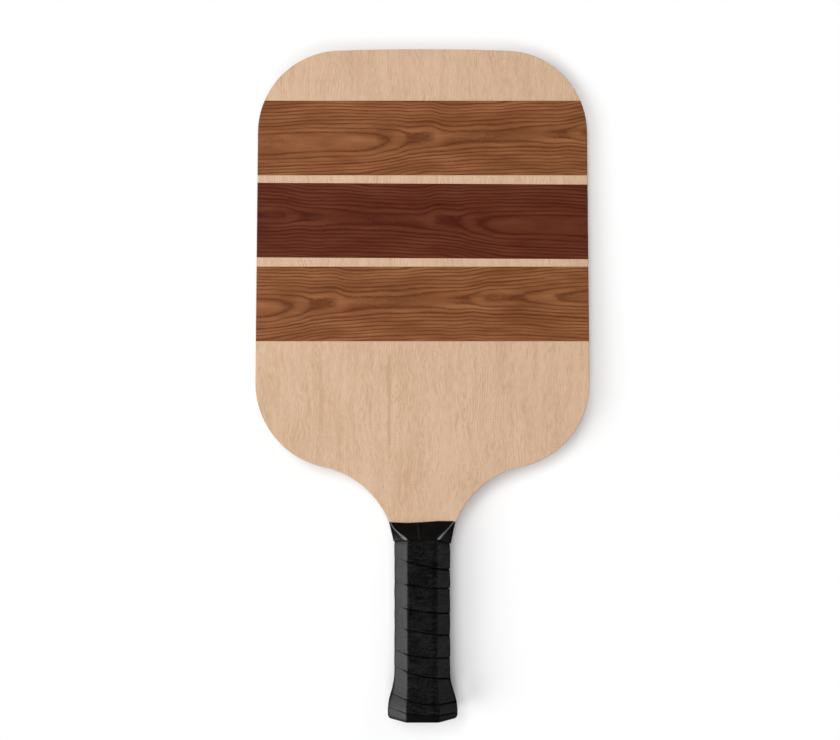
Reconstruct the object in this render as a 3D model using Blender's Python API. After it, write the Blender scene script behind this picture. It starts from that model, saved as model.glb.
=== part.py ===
"""Wooden pickleball paddle with marquetry faces and a wrapped octagonal handle.

The paddle lies flat: +Y runs from the butt to the tip of the head, +Z is the
front face's normal and X runs across the face.  Every piece is laid out from
the butt end (y = 0) and from the blade's middle plane (z = 0); the "paddle"
empty, which carries them all, then brings the middle of the underside of the
whole paddle to the world origin.

The blade is plywood: a five-ply core whose tang runs down the whole handle,
and on each side a face veneer made of seven strips of wood.  Two shaped
scales on the tang make the octagonal handle, a moulded cap stapled over its
end makes the flared butt, and a cushioned strip is wound up to a collar.
"""

import math

import bmesh
import bpy
from mathutils import Vector

# Blade outline
LENGTH = 0.405
FACE_WIDTH = 0.2032
HEAD_WIDTH = 0.2001
CROWN_RADIUS = 1.5
TOP_CORNER_RADIUS = 0.050
LOWER_CORNER_RADIUS = 0.052
LOWER_CORNER_HEIGHT = 0.202
LOWER_CORNER_END = math.radians(-78.2)
THROAT_RADIUS = 0.055
CROWN_STEPS = 4
TOP_CORNER_STEPS = 20
LOWER_CORNER_STEPS = 20
THROAT_STEPS = 14

# Blade layers
BLADE_THICKNESS = 0.0095
VENEER_THICKNESS = 0.0007
GLUE_LINE = 0.0001
PLY_COUNT = 5
RIM_ROUNDING = 0.0006
RIM_SEGMENTS = 3

# Marquetry: heights of the seams above the butt end, from the tip down
TIP_MARGIN = 0.0314
BAND_WIDTH = 0.0453
PINSTRIPE_WIDTH = 0.0051
MAHOGANY_SKEW = math.radians(-0.31)
SEAM_GAP = 0.00006

# Handle: the octagon over the grip, and how it swells towards the butt
HANDLE_WIDTH = 0.0335
HANDLE_THICKNESS = 0.0294
HANDLE_CORNER = 0.0079
FACET_SHARE = 0.4
FLARE_START = 0.0456
FLARE_END = 0.0061
FLARE_SWELL = 0.255
FLARE_POWER = 3
BUTT_ROUNDING = 0.0026
BUTT_ROUNDING_SWELL = 0.085

# Depths below the surface of the grip
GRIP_THICKNESS = 0.0017
WOOD_DEPTH = 0.00195

# Handle pieces
CAP_LENGTH = 0.020
CAP_RIM = 0.0028
CAP_END_WALL = 0.0024
CAP_CLEARANCE = 0.00015
WOOD_START = 0.0027
SCALE_SHOULDER = 0.1092
SCALE_NOSE = 0.1161
SCALE_NOSE_HEIGHT = 0.0005

# Staples
STAPLE_HEIGHT = 0.0142
STAPLE_SPAN = 0.0090
STAPLE_LEG = 0.0075
STAPLE_WIRE_THICKNESS = 0.0005
STAPLE_WIRE_WIDTH = 0.0010
STAPLE_CLEARANCE = 0.00012
STAPLE_RECESS = 0.0012

# Wound strip
GRIP_TOP = 0.1090
STRIP_PITCH = 0.0136
STRIP_GAP = 0.0003
STRIP_FRONT_EDGE = 0.0932
STRIP_SHORTEST_WIDTH = 0.002
STRIP_SAMPLES = 5
STRIP_START = 0.0031

# Collar and finishing tape
COLLAR_TOP = 0.1175
COLLAR_FRONT_EDGE = 0.1080
COLLAR_SIDE_EDGE = 0.1054
COLLAR_LIP = 0.0016
COLLAR_THICKNESS = 0.0007
COLLAR_CLEARANCE = 0.0003
COLLAR_TOP_HALF_WIDTH = 0.0204
COLLAR_TOP_CORNER = 0.0011
COLLAR_SEAT = 0.0011
TAPE_THICKNESS = 0.00012
TAPE_INSET = 0.0008
TAPE_LENGTH = 0.0042

HALF_BLADE = BLADE_THICKNESS / 2
TANG_HALF_WIDTH = HANDLE_WIDTH / 2 - WOOD_DEPTH
BUTT_SWELL = 1 + FLARE_SWELL
REST_HEIGHT = HANDLE_THICKNESS / 2 * BUTT_SWELL

MAPLE = ("maple", (0.66, 0.445, 0.295, 1), 0.45, 0)
WALNUT = ("walnut", (0.225, 0.085, 0.036, 1), 0.4, 0)
MAHOGANY = ("mahogany", (0.112, 0.028, 0.014, 1), 0.4, 0)
CORE_WOOD = ("core_wood", (0.62, 0.36, 0.2, 1), 0.6, 0)
HANDLE_WOOD = ("handle_wood", (0.6, 0.42, 0.26, 1), 0.6, 0)
CAP_PLASTIC = ("cap_plastic", (0.012, 0.012, 0.012, 1), 0.4, 0)
STEEL = ("staple_steel", (0.6, 0.6, 0.62, 1), 0.35, 1)
CUSHION = ("cushion_grip", (0.012, 0.012, 0.012, 1), 0.5, 0)
TAPE = ("finishing_tape", (0.01, 0.01, 0.01, 1), 0.6, 0)
RUBBER = ("collar_rubber", (0.006, 0.006, 0.006, 1), 0.35, 0)


# ---------------------------------------------------------------- scene tools

def clear_scene():
    for item in list(bpy.data.objects):
        bpy.data.objects.remove(item, do_unlink=True)


def make_material(look):
    name, colour, roughness, metallic = look
    if name in bpy.data.materials:
        return bpy.data.materials[name]
    material = bpy.data.materials.new(name)
    material.use_nodes = True
    shader = material.node_tree.nodes["Principled BSDF"]
    shader.inputs["Base Color"].default_value = colour
    shader.inputs["Roughness"].default_value = roughness
    shader.inputs["Metallic"].default_value = metallic
    material.diffuse_color = colour
    return material


def make_collection(name):
    collection = bpy.data.collections.new(name)
    bpy.context.scene.collection.children.link(collection)
    return collection


def add_part(name, data, look, collection, carrier):
    """Put mesh or curve data in the scene as a named piece of the paddle."""
    part = bpy.data.objects.new(name, data)
    part.data.materials.clear()
    part.data.materials.append(make_material(look))
    part.parent = carrier
    collection.objects.link(part)
    return part


def arc(centre, radius, start, end, steps):
    """Points along an arc from one angle to another, both ends included."""
    points = []
    for step in range(steps + 1):
        angle = start + (end - start) * step / steps
        points.append((centre[0] + radius * math.cos(angle), centre[1] + radius * math.sin(angle)))
    return points


def outline_curve(name, outline, half_thickness):
    """A closed flat outline as a filled curve of the given half thickness."""
    curve = bpy.data.curves.new(name, "CURVE")
    curve.dimensions = "2D"
    curve.fill_mode = "BOTH"
    curve.extrude = half_thickness
    spline = curve.splines.new("POLY")
    spline.points.add(len(outline) - 1)
    for point, (x, y) in zip(spline.points, outline):
        point.co = (x, y, 0, 1)
    spline.use_cyclic_u = True
    return curve


def curve_to_mesh(name, curve):
    """The closed mesh of a filled curve, with flat faces left whole."""
    holder = bpy.data.objects.new(name, curve)
    bpy.context.scene.collection.objects.link(holder)
    evaluated = holder.evaluated_get(bpy.context.evaluated_depsgraph_get())
    mesh = bpy.data.meshes.new_from_object(evaluated)
    bpy.data.objects.remove(holder)
    shape = bmesh.new()
    shape.from_mesh(mesh)
    bmesh.ops.remove_doubles(shape, verts=shape.verts, dist=1e-6)
    bmesh.ops.dissolve_limit(shape, angle_limit=0.001, verts=shape.verts, edges=shape.edges)
    bmesh.ops.recalc_face_normals(shape, faces=shape.faces)
    shape.to_mesh(mesh)
    shape.free()
    mesh.name = name
    return mesh


def cut_away(shape, point, normal):
    """Cut a closed shape with a plane and drop what the normal points at."""
    geometry = shape.verts[:] + shape.edges[:] + shape.faces[:]
    bmesh.ops.bisect_plane(shape, geom=geometry, dist=1e-7, plane_co=point, plane_no=normal, clear_outer=True)
    rim = [edge for edge in shape.edges if edge.is_boundary]
    bmesh.ops.edgeloop_fill(shape, edges=rim)
    bmesh.ops.recalc_face_normals(shape, faces=shape.faces)


def loft(name, rings, hollow):
    """Skin a row of rings of equal length.

    A solid loft closes its first and last ring; a hollow one joins the last
    ring to the first, so that the rings run up one wall and down the other.
    """
    shape = bmesh.new()
    loops = [[shape.verts.new(point) for point in ring] for ring in rings]
    pairs = list(zip(loops, loops[1:]))
    if hollow:
        pairs.append((loops[-1], loops[0]))
    else:
        shape.faces.new(loops[0])
        shape.faces.new(loops[-1])
    count = len(rings[0])
    for lower, upper in pairs:
        for index in range(count):
            following = (index + 1) % count
            shape.faces.new((lower[index], lower[following], upper[following], upper[index]))
    bmesh.ops.recalc_face_normals(shape, faces=shape.faces)
    mesh = bpy.data.meshes.new(name)
    shape.to_mesh(mesh)
    shape.free()
    return mesh


# ---------------------------------------------------------------- blade

def half_outline():
    """Right half of the blade and tang, from the tip down to the butt."""
    crown_centre = Vector((0, LENGTH - CROWN_RADIUS))
    top_x = HEAD_WIDTH / 2 - TOP_CORNER_RADIUS
    top_reach = CROWN_RADIUS - TOP_CORNER_RADIUS
    top_centre = Vector((top_x, crown_centre.y + math.sqrt(top_reach ** 2 - top_x ** 2)))
    low_centre = Vector((FACE_WIDTH / 2 - LOWER_CORNER_RADIUS, LOWER_CORNER_HEIGHT))
    direction = Vector((math.cos(LOWER_CORNER_END), math.sin(LOWER_CORNER_END)))
    throat_centre = low_centre + direction * (LOWER_CORNER_RADIUS + THROAT_RADIUS)

    crown_end = math.atan2(top_centre.y - crown_centre.y, top_centre.x)
    side = top_centre - low_centre
    side_angle = math.atan2(side.y, side.x)
    side_angle -= math.acos((LOWER_CORNER_RADIUS - TOP_CORNER_RADIUS) / side.length)
    throat_start = LOWER_CORNER_END + math.pi
    throat_end = math.pi - math.asin((COLLAR_TOP + GLUE_LINE - throat_centre.y) / THROAT_RADIUS)

    points = arc(crown_centre, CROWN_RADIUS, math.pi / 2, crown_end, CROWN_STEPS)
    points += arc(top_centre, TOP_CORNER_RADIUS, crown_end, side_angle, TOP_CORNER_STEPS)[1:]
    points += arc(low_centre, LOWER_CORNER_RADIUS, side_angle, LOWER_CORNER_END, LOWER_CORNER_STEPS)
    points += arc(throat_centre, THROAT_RADIUS, throat_start, throat_end, THROAT_STEPS)[1:]
    seat_x = points[-1][0] - COLLAR_SEAT
    points.append((seat_x, COLLAR_TOP + GLUE_LINE / 2))
    points.append((TANG_HALF_WIDTH, GRIP_TOP + GLUE_LINE))
    points.append((TANG_HALF_WIDTH, WOOD_START))
    return points


def blade_outline():
    right = half_outline()
    left = [(-x, y) for x, y in reversed(right[1:])]
    return right + left


def make_core(outline, collection, carrier):
    """Five equal plies, from the back of the blade to the front."""
    names = ("back_outer_ply", "back_inner_ply", "centre_ply", "front_inner_ply", "front_outer_ply")
    core = BLADE_THICKNESS - 2 * VENEER_THICKNESS
    ply = (core - (PLY_COUNT + 1) * GLUE_LINE) / PLY_COUNT
    for index, name in enumerate(names):
        part = add_part(name, outline_curve(name, outline, ply / 2), CORE_WOOD, collection, carrier)
        part.location.z = (index - (PLY_COUNT - 1) / 2) * (ply + GLUE_LINE)


def face_plate(outline):
    """Whole face veneer, its inner side at z = 0 and its outer rim eased."""
    mesh = curve_to_mesh("face_plate", outline_curve("face_plate", outline, VENEER_THICKNESS / 2))
    shape = bmesh.new()
    shape.from_mesh(mesh)
    bmesh.ops.translate(shape, verts=shape.verts, vec=(0, 0, VENEER_THICKNESS / 2))
    middle = VENEER_THICKNESS / 2
    rim = [edge for edge in shape.edges if all(vertex.co.z > middle for vertex in edge.verts)]
    bmesh.ops.bevel(
        shape, geom=rim, offset=RIM_ROUNDING, segments=RIM_SEGMENTS, profile=0.5, affect="EDGES"
    )
    shape.to_mesh(mesh)
    shape.free()
    return mesh


def seam_lines():
    """(height at the centre line, angle) of each seam, from the tip down."""
    top = LENGTH - TIP_MARGIN
    step = BAND_WIDTH + PINSTRIPE_WIDTH
    return [
        (top, 0),
        (top - BAND_WIDTH, 0),
        (top - step, MAHOGANY_SKEW),
        (top - step - BAND_WIDTH, MAHOGANY_SKEW),
        (top - 2 * step, 0),
        (top - 2 * step - BAND_WIDTH, 0),
    ]


def make_strip(plate, above, below):
    """The part of the face plate between two seams; None leaves an end whole."""
    shape = bmesh.new()
    shape.from_mesh(plate)
    if above is not None:
        height, angle = above
        cut_away(shape, (0, height - SEAM_GAP / 2, 0), (-math.sin(angle), math.cos(angle), 0))
    if below is not None:
        height, angle = below
        cut_away(shape, (0, height + SEAM_GAP / 2, 0), (math.sin(angle), -math.cos(angle), 0))
    mesh = bpy.data.meshes.new("veneer_strip")
    shape.to_mesh(mesh)
    shape.free()
    return mesh


def make_faces(outline, collection, carrier):
    """Seven strips of veneer on each side of the core."""
    strips = (
        ("tip_veneer", MAPLE),
        ("upper_walnut_band", WALNUT),
        ("upper_pinstripe", MAPLE),
        ("mahogany_band", MAHOGANY),
        ("lower_pinstripe", MAPLE),
        ("lower_walnut_band", WALNUT),
        ("throat_veneer", MAPLE),
    )
    plate = face_plate(outline)
    seams = [None] + seam_lines() + [None]
    sides = (("front", 0), ("back", math.pi))
    for side, turn in sides:
        for index, (strip, look) in enumerate(strips):
            mesh = make_strip(plate, seams[index], seams[index + 1])
            part = add_part(f"{side}_{strip}", mesh, look, collection, carrier)
            part.rotation_euler.y = turn
            part.location.z = math.cos(turn) * (HALF_BLADE - VENEER_THICKNESS)


# ---------------------------------------------------------------- handle

def smooth_step(value):
    value = min(max(value, 0), 1)
    return value * value * (3 - 2 * value)


def swell(height):
    """How much larger the handle's section is than its plain octagon."""
    reach = (FLARE_START - height) / (FLARE_START - FLARE_END)
    factor = 1 + FLARE_SWELL * smooth_step(max(reach, 0) ** FLARE_POWER)
    if height < BUTT_ROUNDING:
        factor -= BUTT_ROUNDING_SWELL * (1 - height / BUTT_ROUNDING)
    return factor


def octagon(half_width, half_thickness, corner, height):
    """Section corners, counter-clockwise seen from the butt, at one height."""
    flat_x = half_width - corner
    flat_z = half_thickness - corner
    ends = [
        (half_width, flat_z),
        (flat_x, half_thickness),
        (-flat_x, half_thickness),
        (-half_width, flat_z),
        (-half_width, -flat_z),
        (-flat_x, -half_thickness),
        (flat_x, -half_thickness),
        (half_width, -flat_z),
    ]
    return [Vector((x, height, z)) for x, z in ends]


def handle_section(height, depth, factor=None):
    """The handle's octagon at one height, some depth below the grip's surface."""
    if factor is None:
        factor = swell(height)
    facet = (HANDLE_WIDTH / 2 - HANDLE_CORNER) * (1 + (factor - 1) * FACET_SHARE)
    corner = HANDLE_WIDTH / 2 * factor - facet - depth * (2 - math.sqrt(2))
    half_width = HANDLE_WIDTH / 2 * factor - depth
    half_thickness = HANDLE_THICKNESS / 2 * factor - depth
    return octagon(half_width, half_thickness, corner, height)


def scale_outline():
    """Half octagon above the face of the tang, as (x, z) pairs."""
    section = handle_section(SCALE_SHOULDER, WOOD_DEPTH)
    upper = [(point.x, point.z) for point in section[:4]]
    base = HALF_BLADE + GLUE_LINE
    return [(TANG_HALF_WIDTH, base)] + upper + [(-TANG_HALF_WIDTH, base)]


def make_scales(collection, carrier):
    """Two half-octagon blocks glued on the tang, their upper ends ramped."""
    half_length = (SCALE_NOSE - WOOD_START) / 2
    mesh = curve_to_mesh("scale", outline_curve("scale", scale_outline(), half_length))
    shape = bmesh.new()
    shape.from_mesh(mesh)
    for vertex in shape.verts:
        x, z, along = vertex.co
        vertex.co = (x, WOOD_START + half_length - along, z)
    top = HANDLE_THICKNESS / 2 - WOOD_DEPTH
    nose = HALF_BLADE + GLUE_LINE + SCALE_NOSE_HEIGHT
    ramp = Vector((0, top - nose, SCALE_NOSE - SCALE_SHOULDER))
    cut_away(shape, (0, SCALE_SHOULDER, top), ramp.normalized())
    shape.to_mesh(mesh)
    shape.free()
    scales = []
    for name, turn in (("front_handle_scale", 0), ("back_handle_scale", math.pi)):
        scale = add_part(name, mesh.copy(), HANDLE_WOOD, collection, carrier)
        scale.rotation_euler.y = turn
        scales.append(scale)
    return scales


def make_butt_cap(collection, carrier):
    """Moulded cup over the end of the handle: a rim as wide as the grip, a flare, a thin lip."""
    rim = [handle_section(height, 0) for height in (0, BUTT_ROUNDING, CAP_RIM)]
    outer_heights = (CAP_RIM, 0.005, 0.0075, 0.010, 0.0125, 0.015, 0.0175, CAP_LENGTH)
    outer = [handle_section(height, WOOD_DEPTH) for height in outer_heights]
    inner_depth = WOOD_DEPTH - CAP_CLEARANCE
    inner = [handle_section(height, inner_depth, 1) for height in (CAP_LENGTH, CAP_END_WALL)]
    mesh = loft("butt_cap", rim + outer + inner, hollow=False)
    return add_part("butt_cap", mesh, CAP_PLASTIC, collection, carrier)


def staple_outline(grow, reach):
    """U outline in (x, z): legs down, crown up, its outer side at z = reach."""
    outer = STAPLE_SPAN / 2 + grow
    inner = STAPLE_SPAN / 2 - STAPLE_WIRE_THICKNESS - grow
    foot = -STAPLE_LEG - grow
    crown = -STAPLE_WIRE_THICKNESS - grow
    return [
        (-outer, foot),
        (-inner, foot),
        (-inner, crown),
        (inner, crown),
        (inner, foot),
        (outer, foot),
        (outer, reach),
        (-outer, reach),
    ]


def staple_mesh(name, grow, reach):
    width = STAPLE_WIRE_WIDTH / 2 + grow
    mesh = curve_to_mesh(name, outline_curve(name, staple_outline(grow, reach), width))
    for vertex in mesh.vertices:
        x, z, along = vertex.co
        vertex.co = (x, -along, z)
    return mesh


def cut_with(part, cutter):
    modifier = part.modifiers.new("staple_slot", "BOOLEAN")
    modifier.operation = "DIFFERENCE"
    modifier.solver = "EXACT"
    modifier.object = cutter


def make_staples(cap, scales, collection, cutters, carrier):
    """One staple through the cap into each scale, its crown let into the cap."""
    upper_side = STAPLE_HEIGHT + STAPLE_WIRE_WIDTH
    crown = HANDLE_THICKNESS / 2 * swell(upper_side) - WOOD_DEPTH - STAPLE_CLEARANCE
    names = ("front_cap_staple", "back_cap_staple")
    for name, turn, scale in zip(names, (0, math.pi), scales):
        direction = math.cos(turn)
        staple = add_part(name, staple_mesh(name, 0, 0), STEEL, collection, carrier)
        cutter = bpy.data.objects.new(
            f"{name}_slot", staple_mesh(f"{name}_slot", STAPLE_CLEARANCE, STAPLE_RECESS)
        )
        cutter.parent = carrier
        cutter.hide_render = True
        cutter.display_type = "WIRE"
        cutters.objects.link(cutter)
        for item in (staple, cutter):
            item.rotation_euler.y = turn
            item.location = (0, STAPLE_HEIGHT, crown * direction)
        cut_with(cap, cutter)
        cut_with(scale, cutter)


def strip_stations():
    """(corner index, height of the strip's lower edge) along the winding.

    The strip climbs one pitch a turn.  Its height rises with the distance
    gone round the octagon, so each corner has its own share of the pitch.
    """
    section = handle_section(FLARE_START, 0)
    count = len(section)
    sides = [(section[(k + 1) % count] - section[k]).length for k in range(count)]
    perimeter = sum(sides)
    front_middle = sides[0] + sides[1] / 2
    turns = math.ceil(GRIP_TOP / STRIP_PITCH) + 2
    lowest = STRIP_FRONT_EDGE - (turns - 1) * STRIP_PITCH
    stations = []
    for turn in range(turns + 1):
        gone = -front_middle
        for corner in range(count):
            height = lowest + STRIP_PITCH * (turn + gone / perimeter)
            stations.append((corner, height))
            gone += sides[corner]
    return stations


def strip_heights(lower, upper):
    """Heights evenly spaced across the strip."""
    step = (upper - lower) / (STRIP_SAMPLES - 1)
    return [lower + step * k for k in range(STRIP_SAMPLES)]


def make_grip(collection, carrier):
    """The cushioned strip, wound from the cap's rim up to the collar."""
    rings = []
    for corner, lower in strip_stations():
        upper = min(lower + STRIP_PITCH - STRIP_GAP, GRIP_TOP)
        lower = max(lower, STRIP_START)
        if upper - lower < STRIP_SHORTEST_WIDTH:
            continue
        heights = strip_heights(lower, upper)
        outside = [handle_section(height, 0)[corner] for height in heights]
        inside = [handle_section(height, GRIP_THICKNESS)[corner] for height in reversed(heights)]
        rings.append(outside + inside)
    mesh = loft("grip", rings, hollow=False)
    add_part("grip", mesh, CUSHION, collection, carrier)


def collar_ring(depth, edge_offset):
    """Octagon round the grip whose height dips at the sides of the handle."""
    section = handle_section(GRIP_TOP, depth)
    top = max(point.z for point in section)
    ring = []
    for point in section:
        middle = abs(point.z) / top
        height = COLLAR_SIDE_EDGE + (COLLAR_FRONT_EDGE - COLLAR_SIDE_EDGE) * middle ** 2
        ring.append(Vector((point.x, height + edge_offset, point.z)))
    return ring


def throat_ring(height, depth):
    """Flat section of the throat at the top of the collar, corners clipped."""
    half_width = COLLAR_TOP_HALF_WIDTH - depth
    half_thickness = HALF_BLADE + GLUE_LINE + COLLAR_THICKNESS - depth
    return octagon(half_width, half_thickness, COLLAR_TOP_CORNER - depth, height)


def make_collar(collection, carrier):
    """Rubber band stretched from the flat throat down to the octagon."""
    outer_depth = -(COLLAR_CLEARANCE + COLLAR_THICKNESS)
    inner_depth = -COLLAR_CLEARANCE
    rings = [
        collar_ring(outer_depth, 0),
        collar_ring(outer_depth, COLLAR_LIP),
        throat_ring(COLLAR_TOP, 0),
        throat_ring(COLLAR_TOP, COLLAR_THICKNESS),
        collar_ring(inner_depth, COLLAR_LIP),
        collar_ring(inner_depth, 0),
    ]
    add_part("collar", loft("collar", rings, hollow=True), RUBBER, collection, carrier)


def make_finishing_tape(collection, carrier):
    """Thin tape over the end of the grip, hidden by the collar."""
    outer_depth = -(GLUE_LINE + TAPE_THICKNESS)
    rings = [
        collar_ring(outer_depth, TAPE_INSET),
        collar_ring(outer_depth, COLLAR_LIP - GLUE_LINE),
        collar_ring(-GLUE_LINE, COLLAR_LIP - GLUE_LINE),
        collar_ring(-GLUE_LINE, TAPE_INSET),
    ]
    mesh = loft("finishing_tape", rings, hollow=True)
    add_part("finishing_tape", mesh, TAPE, collection, carrier)


# ---------------------------------------------------------------- assembly

def main():
    clear_scene()
    collection = make_collection("pickleball_paddle")
    cutters = make_collection("cutters")
    carrier = bpy.data.objects.new("paddle", None)
    carrier.location = (0, -LENGTH / 2, REST_HEIGHT)
    collection.objects.link(carrier)

    outline = blade_outline()
    make_core(outline, collection, carrier)
    make_faces(outline, collection, carrier)
    scales = make_scales(collection, carrier)
    cap = make_butt_cap(collection, carrier)
    make_staples(cap, scales, collection, cutters, carrier)
    make_grip(collection, carrier)
    make_finishing_tape(collection, carrier)
    make_collar(collection, carrier)


main()
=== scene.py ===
"""Looks of the wooden pickleball paddle: inlaid wood faces, wound cushion grip, stretched collar.

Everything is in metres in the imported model's frame: +Y from the butt to the tip of the
head, +Z out of the front face, the paddle lying flat.  The blade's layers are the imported
pieces with smooth edges; the grip, the collar, the finishing tape and the butt cap are
built finer here.
"""

import math

import bmesh
import bpy
from mathutils import Matrix, Vector, noise


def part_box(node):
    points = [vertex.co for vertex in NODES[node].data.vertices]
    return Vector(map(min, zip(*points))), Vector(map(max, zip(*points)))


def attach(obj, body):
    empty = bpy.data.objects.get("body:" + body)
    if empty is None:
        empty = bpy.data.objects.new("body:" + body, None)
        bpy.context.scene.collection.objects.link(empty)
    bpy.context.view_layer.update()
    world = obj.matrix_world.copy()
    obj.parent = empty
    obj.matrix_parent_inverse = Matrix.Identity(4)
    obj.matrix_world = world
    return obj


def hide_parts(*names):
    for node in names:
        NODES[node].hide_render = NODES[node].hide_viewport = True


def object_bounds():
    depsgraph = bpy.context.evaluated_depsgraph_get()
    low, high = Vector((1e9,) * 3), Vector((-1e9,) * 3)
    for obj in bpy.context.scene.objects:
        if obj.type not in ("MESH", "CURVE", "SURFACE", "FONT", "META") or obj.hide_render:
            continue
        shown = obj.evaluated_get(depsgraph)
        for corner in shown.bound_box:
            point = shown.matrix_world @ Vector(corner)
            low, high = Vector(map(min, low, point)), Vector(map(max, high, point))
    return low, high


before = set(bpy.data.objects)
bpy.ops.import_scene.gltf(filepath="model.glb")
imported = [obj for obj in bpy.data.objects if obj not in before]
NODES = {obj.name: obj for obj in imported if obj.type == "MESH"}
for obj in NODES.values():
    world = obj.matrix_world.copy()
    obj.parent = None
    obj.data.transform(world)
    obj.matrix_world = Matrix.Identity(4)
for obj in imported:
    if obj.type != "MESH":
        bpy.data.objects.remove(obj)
cad_low, cad_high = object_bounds()

MM = 0.001

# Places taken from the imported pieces
BUTT_Y = cad_low.y
AXIS_Z = (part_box("centre_ply")[0].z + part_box("centre_ply")[1].z) / 2
FACE_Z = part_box("front_tip_veneer")[1].z
HALF_BLADE = FACE_Z - AXIS_Z

# The handle's octagon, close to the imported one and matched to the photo.  Heights are above
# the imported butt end; the section swells from FLARE_START down to FLARE_END and is rounded
# at BUTT_END
HANDLE_HALF_WIDTH = 16.9 * MM
HANDLE_HALF_THICKNESS = 14.7 * MM
HANDLE_CORNER = 7.9 * MM
FACET_SHARE = 0.4
HANDLE_X = -0.15 * MM
FLARE_START = 34.5 * MM
FLARE_END = 4.6 * MM
FLARE_SWELL = 0.252
FLARE_POWER = 2.1
BUTT_END = -1.0 * MM
BUTT_ROUNDING = 2.6 * MM
BUTT_ROUNDING_SWELL = 0.1
BUTT_LEAN = 0.27 * MM
# Thickness of the strip, and how deep the wood lies under the grip's surface, as packed
GRIP_THICKNESS = 1.7 * MM
WOOD_DEPTH = 1.95 * MM


# ---------------------------------------------------------------- node graphs

class Graph:
    """A node tree, added to one call at a time."""

    def __init__(self, tree):
        self.tree = tree

    def node(self, kind, inputs, **settings):
        made = self.tree.nodes.new(kind)
        for key, value in settings.items():
            setattr(made, key, value)
        for key, value in inputs.items():
            if isinstance(value, bpy.types.NodeSocket):
                self.tree.links.new(value, made.inputs[key])
            else:
                made.inputs[key].default_value = value
        return made

    def math(self, operation, first, second=0.0, third=0.0, clamp=False):
        inputs = {0: first, 1: second, 2: third}
        return self.node("ShaderNodeMath", inputs, operation=operation, use_clamp=clamp).outputs[0]

    def add(self, first, second):
        return self.math("ADD", first, second)

    def scale(self, first, second):
        return self.math("MULTIPLY", first, second)

    def total(self, level, *patterns, clamp=False):
        """A level plus each pattern times its weight; clamp holds the end result to 0 to 1."""
        for pattern, weight in patterns[:-1]:
            level = self.math("MULTIPLY_ADD", pattern, weight, level)
        pattern, weight = patterns[-1]
        return self.math("MULTIPLY_ADD", pattern, weight, level, clamp=clamp)

    def vector(self, x, y, z):
        return self.node("ShaderNodeCombineXYZ", {"X": x, "Y": y, "Z": z}).outputs[0]

    def noise(self, x, y, z, sizes, detail=2.0, roughness=0.5, seed=0.0):
        """Noise from -1 to 1 whose features have the given sizes along x, y and z."""
        place = self.vector(
            self.math("DIVIDE", x, sizes[0]),
            self.math("DIVIDE", y, sizes[1]),
            self.math("DIVIDE", z, sizes[2]),
        )
        made = self.node(
            "ShaderNodeTexNoise",
            {"Vector": place, "W": seed, "Scale": 1.0, "Detail": detail, "Roughness": roughness},
            noise_dimensions="4D",
        )
        return self.math("MULTIPLY_ADD", made.outputs["Fac"], 2.0, -1.0)

    def face_noise(self, along, across, sizes, seed, detail=1.0):
        """Noise over a flat face, whose features have two sizes in millimetres."""
        return self.noise(along, across, 0.0, (sizes[0] * MM, sizes[1] * MM, 1), detail, seed=seed)

    def ease(self, value, start, end, first, last):
        """A smooth change from first to last as the value goes from start to end."""
        made = self.node(
            "ShaderNodeMapRange",
            {"Value": value, "From Min": start, "From Max": end, "To Min": first, "To Max": last},
            interpolation_type="SMOOTHSTEP",
        )
        return made.outputs["Result"]

    def ramp(self, value, stops):
        """A grey ramp through (position, level) stops."""
        made = self.node("ShaderNodeValToRGB", {"Fac": value})
        ramp = made.color_ramp
        while len(ramp.elements) < len(stops):
            ramp.elements.new(0.5)
        for element, (position, level) in zip(ramp.elements, stops):
            element.position = position
            element.color = (level, level, level, 1)
        return made.outputs["Color"]

    def between(self, share, first, second):
        """A colour mixed from two others."""
        made = self.node("ShaderNodeMix", {}, data_type="RGBA", clamp_factor=True)
        for socket, value in ((0, share), (6, first), (7, second)):
            if isinstance(value, bpy.types.NodeSocket):
                self.tree.links.new(value, made.inputs[socket])
            elif socket == 0:
                made.inputs[socket].default_value = value
            else:
                made.inputs[socket].default_value = (*value, 1)
        return made.outputs[2]


class MaterialGraph(Graph):
    """A material's node graph, built round its one surface shader."""

    def __init__(self, name):
        self.material = bpy.data.materials.new(name)
        self.material.use_nodes = True
        super().__init__(self.material.node_tree)
        self.surface = self.tree.nodes["Principled BSDF"]

    def position(self):
        """Coordinates of the surface in the paddle's frame, in metres: x, y and z."""
        place = self.node("ShaderNodeTexCoord", {}).outputs["Object"]
        return self.node("ShaderNodeSeparateXYZ", {"Vector": place}).outputs

    def finish(self, colour, roughness, bump=None, depth=0.0, specular=0.5):
        """Link colour, roughness and an optional bump of the given depth in metres."""
        self.tree.links.new(colour, self.surface.inputs["Base Color"])
        self.tree.links.new(roughness, self.surface.inputs["Roughness"])
        self.surface.inputs["Specular IOR Level"].default_value = specular
        if bump is not None:
            made = self.node("ShaderNodeBump", {"Height": bump, "Distance": depth, "Strength": 1.0})
            self.tree.links.new(made.outputs["Normal"], self.surface.inputs["Normal"])
        return self.material


# ---------------------------------------------------------------- banded woods

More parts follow.
